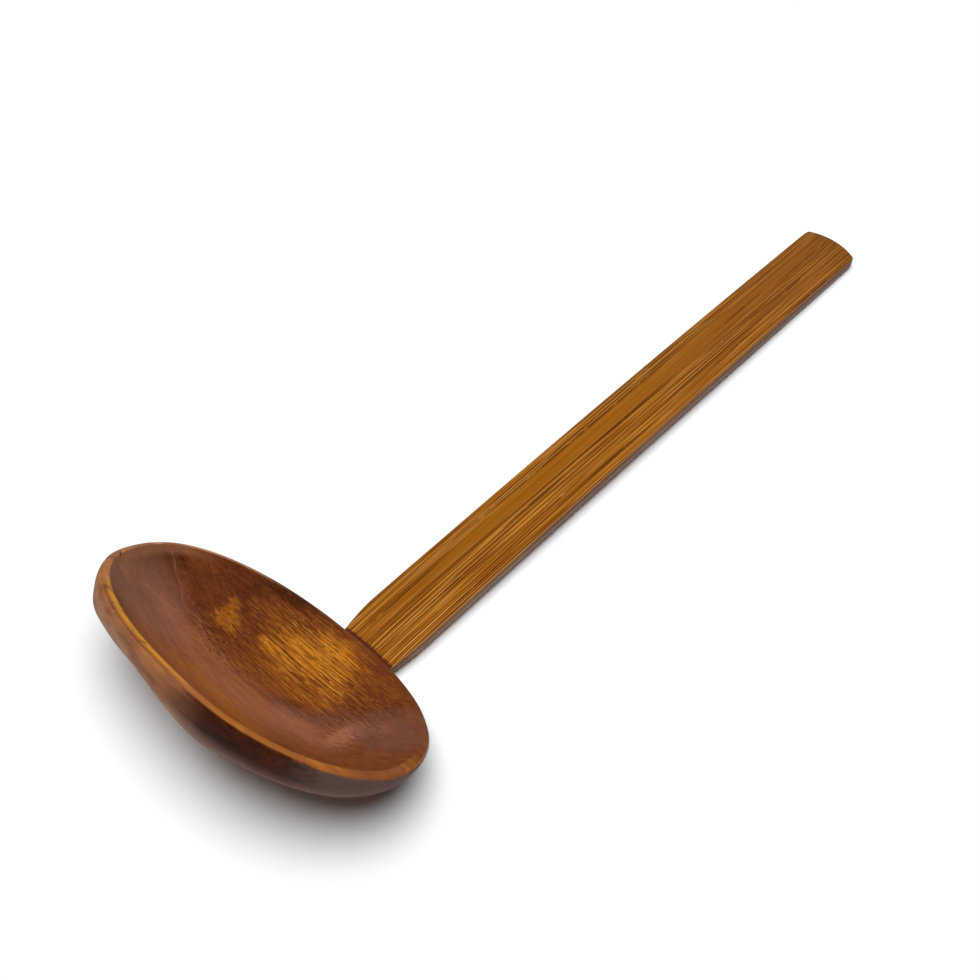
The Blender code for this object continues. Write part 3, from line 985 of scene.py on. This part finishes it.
# %% Gold crest with its painted highlight, the painted shade under it, gold spots, and where the rim gives way to the hollow
left_crest = patch(soaked, (-21.0, -20.0), (18.0, 10.0), soft=0.25)
crest = times(step_up(inside, 0.10, 0.45), step_up(inside, 1.0, 0.80))
# The gold crest is worn wood with a painted highlight along it.
worn_gold_and_highlight = times(times(crest, left_crest), step_up(worn, 0.38, 0.50))
spots = times(rim_share, step_up(worn, 0.60, 0.70))
back_run = step_up(across["Y"], -2.0, 8.0)
back_run = times(back_run, step_up(across["X"], -32.0, -18.0))
within = step_up(inside, 0.70, 1.0)
within_back = step_up(inside, 0.02, 0.24)
within = sums("MAXIMUM", within, times(within_back, back_run))
spots = sums("SUBTRACT", spots, within, clamp=True)
# A line of painted shade under the crest.
shade_under_crest = times(step_up(inside, 0.02, 0.12), step_up(inside, 0.34, 0.18))
shade_under_crest = times(shade_under_crest, left_crest)
crack = patch(place, (-45.6, -6.0), (1.9, 0.16), turn=-35, soft=0.5)
RIM_MARKS = (
    (shade_under_crest, 0.55, (0.130, 0.040, 0.016)),
    (worn_gold_and_highlight, 0.95, (0.60, 0.250, 0.018)),
    (spots, 0.60, (0.44, 0.170, 0.020)),
    (times(crack, rim_share), 0.9, (0.020, 0.007, 0.005)),
)
colour = lay_all(blend(within, outer, hollow), RIM_MARKS)
wire(colour, "Base Color")
print(f"{len(RIM_MARKS)} kinds of mark on the rim")

# %% [markdown]
# Pores and lines can be felt too. They are a bump of a tenth of a millimetre, and the open grain is a
# little rougher than the rubbed wood beside it.

# %% Feel of the wood: bump and gloss
height = sums("MULTIPLY_ADD", pores, -0.7, times(lines, 0.5))
feel(height, 0.25)
roughness = sums("MULTIPLY_ADD", open_grain, 0.14, sums("MULTIPLY_ADD", lines, 0.10, 0.34))
roughness = toward(roughness, sums("SUBTRACT", front_wall, within, clamp=True), 0.8, 0.62)
wire(roughness, "Roughness")
bowl.data.materials.append(wood)
print(f"stained hardwood: {len(tree.nodes)} nodes")

# %% [markdown]
# ## Lacquered bamboo
# Split bamboo is a bundle of straight fibres: fine pale and dark lines that run the whole length, in
# bands, with a plain band between them. The bands are noise squeezed across the slat and drawn out along
# it. The thin lines have one width, so they are made like the dashes in the bowl, only longer. The far end
# is a little browner.

# %% Bands and fibres of the slat
bamboo, tree, shader = new_finish("lacquered_bamboo", 0.45, 0.12)
place = millimetres()
parts = add("ShaderNodeSeparateXYZ", Vector=place).outputs
swayed = push_along_x(place, (0.10, 0.018, 0.10), 0.3)
across = add("ShaderNodeSeparateXYZ", Vector=swayed).outputs["X"]
far_share = step_up(parts["Y"], 80.0, 195.0)
broad = drawn_noise(swayed, (0.40, 0.008, 0.40), detail=3.0, rough=0.5)
bundle = drawn_noise(swayed, (1.0, 0.006, 1.0), detail=2.0, rough=0.5, shift=4.0)
fibre = drawn_noise(swayed, (2.5, 0.008, 2.5), detail=1.5, rough=0.5, shift=9.0)
print("noises of the slat drawn along it")

# %% Colour of the bands and lines
plain_band = patch(swayed, (0.2, 110.0), (1.7, 100.0), soft=0.30)
lively = sums("MULTIPLY_ADD", plain_band, -0.80, 1.0)
lively = times(lively, sums("MULTIPLY_ADD", far_share, -0.45, 1.0))
base = blend(step_up(broad, 0.32, 0.68), (0.285, 0.091, 0.0065), (0.360, 0.120, 0.0075))
base = lay(base, far_share, 0.70, (0.215, 0.072, 0.0100))
base = lay(base, step_up(parts["Y"], 186.0, 207.0), 0.65, (0.140, 0.044, 0.008))
# Each kind of band: its noise, where that starts and is full, strength, colour.
SLAT_BANDS = (
    (bundle, 0.54, 0.66, 0.20, (0.42, 0.155, 0.016)),
    (bundle, 0.46, 0.34, 0.30, (0.180, 0.050, 0.004)),
    (fibre, 0.58, 0.63, 0.45, (0.50, 0.200, 0.028)),
    (fibre, 0.42, 0.37, 0.50, (0.110, 0.028, 0.004)),
)
for noise, low, high, most, line_colour in SLAT_BANDS:
    line = times(step_up(noise, low, high), lively)
    base = lay(base, line, most, line_colour)
# Each kind of line: count per mm, half its width, its run in mm, shift, strength, colour.
SLAT_LINES = (
    (1.7, 0.095, 40.0, 1.0, 0.88, (0.67, 0.310, 0.059)),
    (2.4, 0.065, 30.0, 6.0, 0.80, (0.105, 0.028, 0.004)),
    (1.1, 0.095, 50.0, 4.0, 0.95, (0.070, 0.017, 0.004)),
)
for per_mm, half_width, run, shift, most, line_colour in SLAT_LINES:
    line = fibre_lines(across, parts["Y"], per_mm, half_width, run, shift)
    base = lay(base, times(line, lively), most, line_colour)
print(f"{len(SLAT_BANDS)} kinds of band and {len(SLAT_LINES)} kinds of line laid on the slat")

# %% [markdown]
# A few fibres are stronger and darker than the rest, and the eye finds them first. So they are long thin
# ovals placed one by one, and a noise breaks them up.

# %% Strong dark fibres
# Each fibre, in millimetres: place across the slat, start and end along it.
STRONG_FIBRES = (
    (5.7, 28, 62), (1.95, 14, 66), (2.6, 92, 128), (6.45, 120, 166), (4.3, 144, 168), (10.8, 172, 206),
    (5.2, 172, 188), (1.45, 180, 206), (-0.8, 14, 42), (-2.9, 30, 160), (-2.2, 55, 145), (8.8, 88, 118),
    (7.4, 60, 92), (3.4, 64, 84), (9.9, 30, 58), (-3.9, 100, 150), (0.6, 150, 172), (7.9, 140, 160),
)
STRONG_HALF_WIDTH = 0.16
fibres = []
for at, start, end in STRONG_FIBRES:
    fibres.append((at, (start + end) / 2, STRONG_HALF_WIDTH, (end - start) / 2, 0))
strong = any_patch(swayed, fibres, 0.5)
broken = step_up(drawn_noise(place, (0.8, 0.30, 0.8), detail=2.0, shift=21.0), 0.28, 0.46)
strong = times(strong, broken)
base = lay(base, strong, 0.85, (0.050, 0.013, 0.003))
print(f"{len(STRONG_FIBRES)} strong fibres placed")

# %% [markdown]
# Glue has stained the root. On the sawn end the bundles show as dots. The rounded edges get a painted
# highlight, and the sides are painted dark under the top edge as shade and paler toward the table as the
# light it throws up.

# %% Stained root, sawn end, painted edge highlight and painted side shading
joint_curve = sums("MULTIPLY_ADD", sums("POWER", parts["X"], 2.0), 0.0042, parts["Y"])
ragged = drawn_noise(place, (1.4, 0.5, 1.4), detail=3.0, shift=2.0)
from_joint = sums("MULTIPLY_ADD", ragged, -1.0, joint_curve)
joint_stain = step_up(from_joint, BACK_Y * 1000 + 1.3, BACK_Y * 1000 + 0.5)
facing = add("ShaderNodeSeparateXYZ", Vector=tree.nodes.new("ShaderNodeTexCoord").outputs["Normal"])
sawn = step_up(facing.outputs["Y"], 0.75, 0.95)
sides = sums("ABSOLUTE", facing.outputs["X"])
# A painted highlight on the rounded edges.
rounded = times(step_up(sides, 0.15, 0.45), step_up(sides, 0.95, 0.70))
lift = kept_value("lift")
# Painted shade under the top edge, and painted light from the table lower down.
painted_side_shading = blend(step_up(lift, 0.65, 0.10), (0.085, 0.036, 0.020), (0.26, 0.175, 0.135))
cells = add("ShaderNodeTexVoronoi", Vector=place, Scale=1.5)
dots = times(sawn, step_up(cells.outputs["Distance"], 0.42, 0.25))
SLAT_MARKS = (
    (joint_stain, 0.92, (0.070, 0.014, 0.007)),
    (rounded, 0.50, (0.40, 0.210, 0.100)),
    (step_up(sides, 0.75, 0.98), 0.80, painted_side_shading),
    (sawn, 0.5, (0.20, 0.070, 0.014)),
    (dots, 0.8, (0.060, 0.018, 0.006)),
)
wire(lay_all(base, SLAT_MARKS), "Base Color")
print("root stained, end dotted and sides shaded")

# %% Feel of the bamboo: bump and gloss
grooves = sums("MULTIPLY_ADD", fibre, 0.5, times(strong, -0.6))
height = sums("MULTIPLY_ADD", bundle, 0.5, grooves)
feel(height, 0.25)
wire(sums("MULTIPLY_ADD", bundle, 0.20, 0.38), "Roughness")
slat.data.materials.append(bamboo)
print(f"lacquered bamboo: {len(tree.nodes)} nodes")

# %% [markdown]
# ## Cured glue
# Wood glue dries to a dark, slightly glossy line, redder where it is thin. One slow noise for the colour
# and one fine noise for its skin are enough at this size.

# %% Glue finish
cured, tree, shader = new_finish("cured_glue", 0.35, 0.4)
place = millimetres()
thin = drawn_noise(place, (0.7, 0.7, 0.7), detail=3.0)
colour = blend(step_up(thin, 0.35, 0.65), (0.045, 0.010, 0.006), (0.12, 0.028, 0.012))
wire(colour, "Base Color")
skin = drawn_noise(place, (3.0, 3.0, 3.0), detail=2.0, shift=5.0)
feel(skin, 0.4)
wire(sums("MULTIPLY_ADD", thin, 0.2, 0.25), "Roughness")
glue.data.materials.append(cured)
print(f"cured glue: {len(tree.nodes)} nodes")

# %% [markdown]
# ## Table, light and camera
# The spoon lies on a white table under one wide soft light straight above it. Such a light leaves the
# front of the bowl, which hangs over the table, dark, and makes a soft shadow under the overhang. A sun
# lamp with a very wide disc gives that light evenly over the whole table. The room is dim apart from it.
# What the lacquer mirrors is the white wall round the table, bright near the table and dark higher up.
# Seen by the camera the table is a little cool. The wood throws warm light into its own shadow, and the
# shadow on the photograph is grey.

# %% White table
FLOOR_REACH = 3.0
TABLE_WHITE = (0.97, 0.97, 0.97)
TABLE_SEEN = (0.94, 0.97, 0.99)
floor_mesh = bpy.data.meshes.new("white_table")
corner_signs = ((-1, -1), (1, -1), (1, 1), (-1, 1))
floor_mesh.from_pydata([(FLOOR_REACH * x, FLOOR_REACH * y, 0.0) for x, y in corner_signs], [], [(0, 1, 2, 3)])
floor = new_piece("white_table", floor_mesh)
white, tree, shader = new_finish("table_white", 0.9, 0.0)
seen = tree.nodes.new("ShaderNodeLightPath").outputs["Is Camera Ray"]
wire(blend(seen, TABLE_WHITE, TABLE_SEEN), "Base Color")
floor_mesh.materials.append(white)
print(f"white table {2 * FLOOR_REACH:.0f} m across")

# %% Soft light
ROOM_LEVEL = 0.045
CEILING_SEEN = 0.06
WALL_TOP, WALL_FOOT = 0.72, 0.20
SOFT_LIGHT = 3.2
SOFT_LIGHT_SPREAD = math.radians(47)
world = bpy.data.worlds.new("soft_room")
bpy.context.scene.world = world
world.use_nodes = True
tree = world.node_tree
backdrop = tree.nodes["Background"]
rays = tree.nodes.new("ShaderNodeLightPath")
way = add("ShaderNodeSeparateXYZ", Vector=tree.nodes.new("ShaderNodeTexCoord").outputs["Generated"])
wall_seen = step_up(way.outputs["Z"], WALL_TOP, WALL_FOOT, 1.0 - CEILING_SEEN)
mirrored = sums("ADD", wall_seen, CEILING_SEEN - ROOM_LEVEL)
white_seen = sums("MAXIMUM", rays.outputs["Is Camera Ray"], rays.outputs["Is Transmission Ray"])
level = sums("MULTIPLY_ADD", white_seen, 1.0 - ROOM_LEVEL, ROOM_LEVEL)
level = sums("MULTIPLY_ADD", rays.outputs["Is Glossy Ray"], mirrored, level)
tree.links.new(level, backdrop.inputs["Strength"])
backdrop.inputs["Color"].default_value = (1.0, 1.0, 1.0, 1.0)
lamp = bpy.data.lights.new("overhead_light", "SUN")
lamp.energy = SOFT_LIGHT
lamp.angle = SOFT_LIGHT_SPREAD
overhead = new_piece("overhead_light", lamp)
overhead.visible_glossy = False
print("one soft light overhead")

# %% [markdown]
# The camera stands where the photographer stood. Its angle, distance and lens were found by fitting the
# outline of the solids to that of the photograph. It is rolled a little, as a camera held by hand is.

# %% Camera at the photograph's angle
LENS = 60.14
SENSOR = 36.0
NEAREST_SEEN = 0.01
AZIMUTH = math.radians(38.84)
ELEVATION = math.radians(52.28)
ROLL = math.radians(4.04)
DISTANCE = 0.39508
LOOK_AT = Vector((-0.0022, 0.0619, 0.0149))
back = Vector(
    (math.sin(AZIMUTH) * math.cos(ELEVATION), -math.cos(AZIMUTH) * math.cos(ELEVATION), math.sin(ELEVATION))
)
camera_data = bpy.data.cameras.new("photo_angle")
camera_data.sensor_width = SENSOR
camera_data.lens = LENS
camera_data.clip_start = NEAREST_SEEN
camera = new_piece("photo_angle", camera_data)
turned = back.to_track_quat("Z", "Y").to_matrix().to_4x4() @ Matrix.Rotation(ROLL, 4, "Z")
camera.matrix_world = Matrix.Translation(LOOK_AT + back * DISTANCE) @ turned
bpy.context.scene.camera = camera
bpy.context.scene.view_settings.view_transform = "Standard"
print(f"camera {DISTANCE * 1000:.0f} mm away")

# %% [markdown]
# ## Put the pieces on the part
# Each finer piece stands for a solid of the part and takes the place of its plain look. The spoon has no
# joints, so all three ride on its one body.

# %% Ride and replace
for piece, node, slot in (
    (bowl, "bowl", "stained_hardwood"),
    (slat, "handle", "lacquered_bamboo"),
    (glue, "glue_line", "cured_glue"),
):
    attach(piece, "root")
    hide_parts(node)
